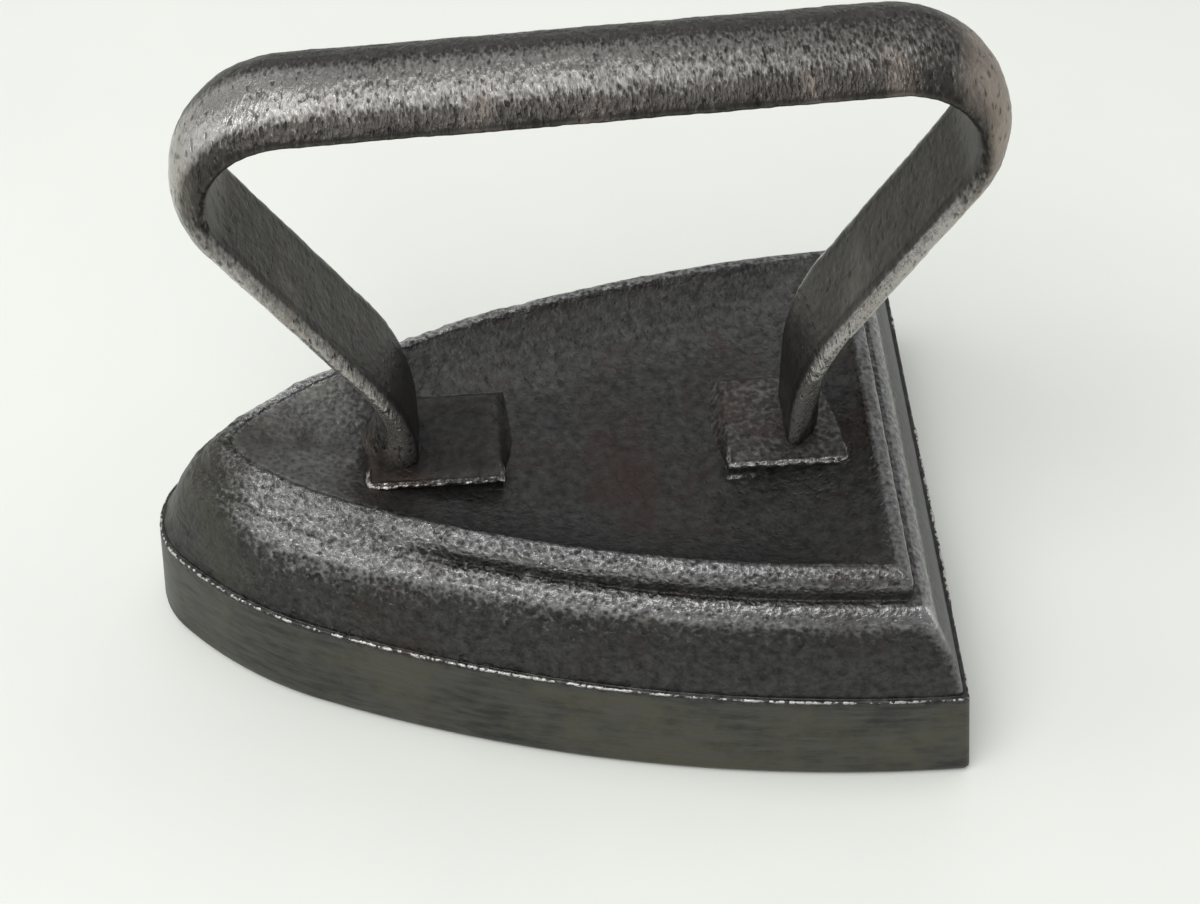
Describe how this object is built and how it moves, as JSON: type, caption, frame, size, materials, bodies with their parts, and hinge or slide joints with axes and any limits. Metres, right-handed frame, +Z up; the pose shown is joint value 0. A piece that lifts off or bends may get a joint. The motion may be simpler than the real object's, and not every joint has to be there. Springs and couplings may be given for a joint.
{
  "type": "toy iron",
  "caption": "Miniature sad iron: a solid cast base with a flat sole, a moulded rim and a dished deck, under a bent half-round bar handle set in two foot blocks.",
  "frame": {"origin": "middle of the sole, half way between nose and heel", "axes": "+X from the nose to the heel, +Y across the base, +Z up from the sole"},
  "size_m": [0.0831, 0.0582, 0.0739],
  "materials": {
    "base_iron": "rough sand-cast skin, ground plinth",
    "handle_iron": "worn and pitted, brown at the bends",
    "pad_iron": "rough poured skin, crusty edges"
  },
  "bodies": {
    "root": {"base_casting": "base_iron", "handle": "handle_iron", "front_foot_pad": "pad_iron", "rear_foot_pad": "pad_iron"}
  },
  "joints": []
}
